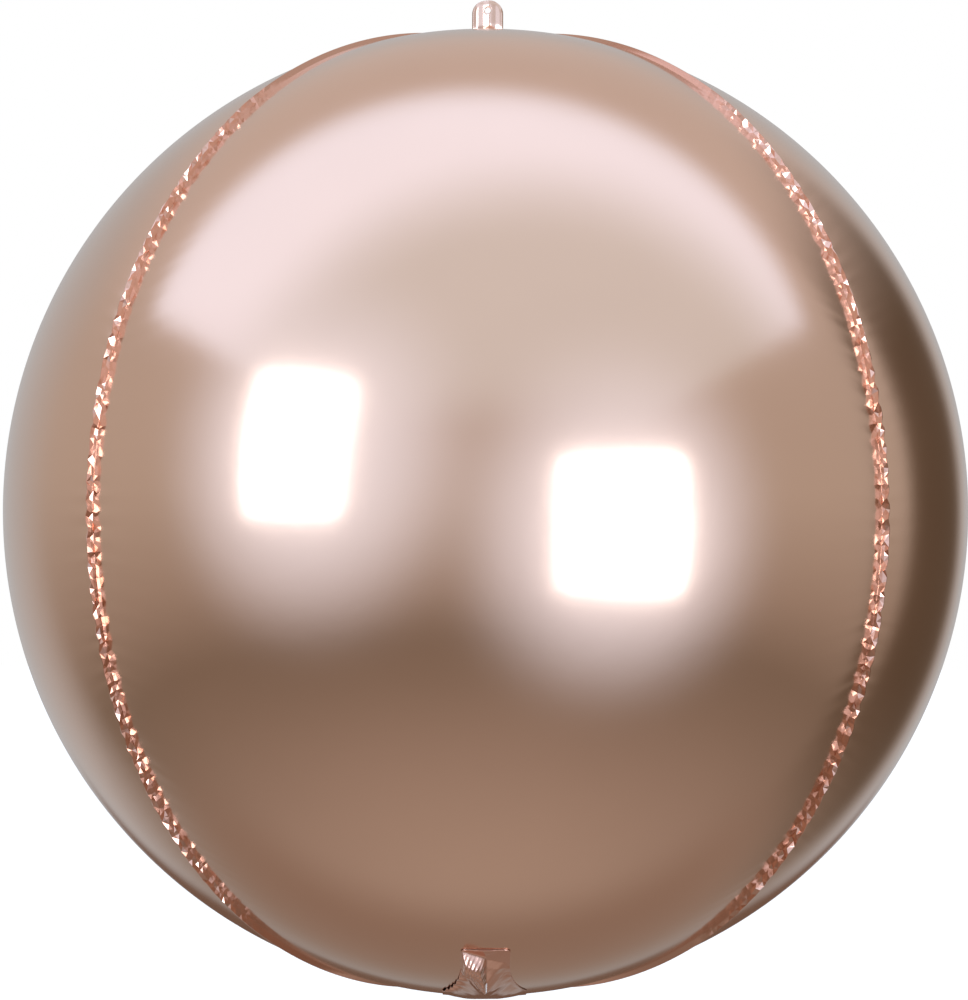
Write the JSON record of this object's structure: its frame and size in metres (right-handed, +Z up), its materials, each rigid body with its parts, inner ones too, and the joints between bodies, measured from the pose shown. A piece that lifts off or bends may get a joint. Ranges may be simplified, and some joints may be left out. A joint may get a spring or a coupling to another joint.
{
  "type": "round foil balloon",
  "caption": "Inflated round balloon of welded metallised-film gores, with a punched hanging tab and a folded self-closing inflation tail.",
  "frame": {"origin": "centre of the hanging hole in the tab, midway between the tab's two plies", "axes": "+Y along the hanging hole, from the front gore to the back gore; +X to the right of the front gore; +Z up, from the ball to the tab"},
  "size_m": [0.56, 0.56, 0.5893],
  "materials": {
    "gore_film": "soft mirror, rose-gold lacquer over vacuum-metallised film",
    "weld_film": "crinkled where it is heat-welded, rose-gold metallised film",
    "valve_film": "clear, glossy film"
  },
  "bodies": {
    "ball": {"front_gore": "gore_film", "back_gore": "gore_film", "left_gore": "gore_film", "right_gore": "gore_film"},
    "tab": {"tab_front_ply": "weld_film", "tab_back_ply": "weld_film"},
    "tail": {"tail_front_ply": "weld_film", "tail_back_ply": "weld_film", "tail_valve_front_film": "valve_film", "tail_valve_back_film": "valve_film"},
    "inner_valve": {"inner_valve_front_film": "valve_film", "inner_valve_back_film": "valve_film"}
  },
  "joints": [
    {"name": "tab_fold", "type": "hinge", "parent": "ball", "child": "tab", "pos_m": [0, 0, -0.011], "axis": [1, 0, 0], "range_deg": [-85, 85]},
    {"name": "tail_fold", "type": "hinge", "parent": "ball", "child": "tail", "pos_m": [0, 0, -0.5825], "axis": [1, 0, 0], "range_deg": [0, 150]},
    {"name": "valve_sway", "type": "hinge", "parent": "ball", "child": "inner_valve", "pos_m": [0, 0, -0.5779], "axis": [1, 0, 0], "range_deg": [-45, 45]}
  ]
}
